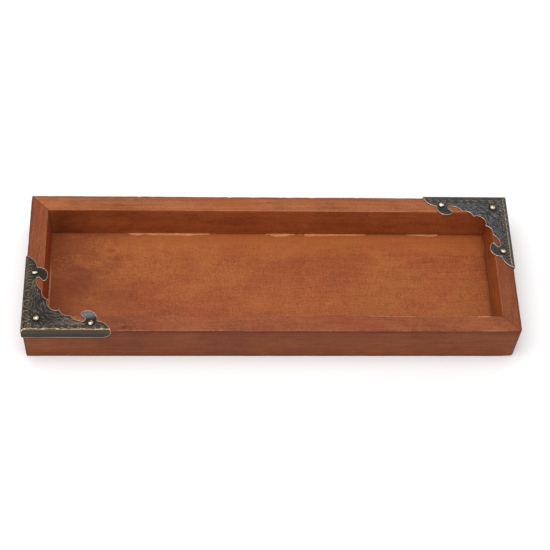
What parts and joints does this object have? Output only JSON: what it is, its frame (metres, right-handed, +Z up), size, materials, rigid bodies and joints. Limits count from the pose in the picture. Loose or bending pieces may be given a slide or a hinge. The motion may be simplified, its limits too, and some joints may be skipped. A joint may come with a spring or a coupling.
{
  "type": "eyeglasses storage tray",
  "caption": "Shallow open rectangular wooden tray with mitred rails, a thin bottom panel and scalloped antique metal corner plates nailed to opposite corners.",
  "frame": {"origin": "centre of the footprint, on the surface that the tray stands on", "axes": "+X along the tray, towards the end without a plate on its front corner; +Y across the tray, away from the viewer in the picture; +Z up, out of the open top"},
  "size_m": [0.2212, 0.0732, 0.024],
  "materials": {
    "stained_rail": "matte reddish brown stain",
    "stained_panel": "matte reddish brown stain, blotchy",
    "antique_bronze_sheet": "dark antique patina, embossed, rubbed bright on the raised rim",
    "brass_nail": "polished",
    "steel_pin": "plain drawn wire"
  },
  "bodies": {
    "root": {"back_rail": "stained_rail", "bottom_panel": "stained_panel", "corner_plate_back_right": "antique_bronze_sheet", "corner_plate_front_left": "antique_bronze_sheet", "front_rail": "stained_rail", "left_rail": "stained_rail", "mitre_pin_back_left_lower": "steel_pin", "mitre_pin_back_left_upper": "steel_pin", "mitre_pin_back_right_lower": "steel_pin", "mitre_pin_back_right_upper": "steel_pin", "mitre_pin_front_left_lower": "steel_pin", "mitre_pin_front_left_upper": "steel_pin", "mitre_pin_front_right_lower": "steel_pin", "mitre_pin_front_right_upper": "steel_pin", "nail_back_right_corner": "brass_nail", "nail_back_right_long_arm": "brass_nail", "nail_back_right_short_arm": "brass_nail", "nail_front_left_corner": "brass_nail", "nail_front_left_long_arm": "brass_nail", "nail_front_left_short_arm": "brass_nail", "panel_pin_back_1": "steel_pin", "panel_pin_back_2": "steel_pin", "panel_pin_back_3": "steel_pin", "panel_pin_back_4": "steel_pin", "panel_pin_front_1": "steel_pin", "panel_pin_front_2": "steel_pin", "panel_pin_front_3": "steel_pin", "panel_pin_front_4": "steel_pin", "panel_pin_left": "steel_pin", "panel_pin_right": "steel_pin", "right_rail": "stained_rail"}
  },
  "joints": []
}
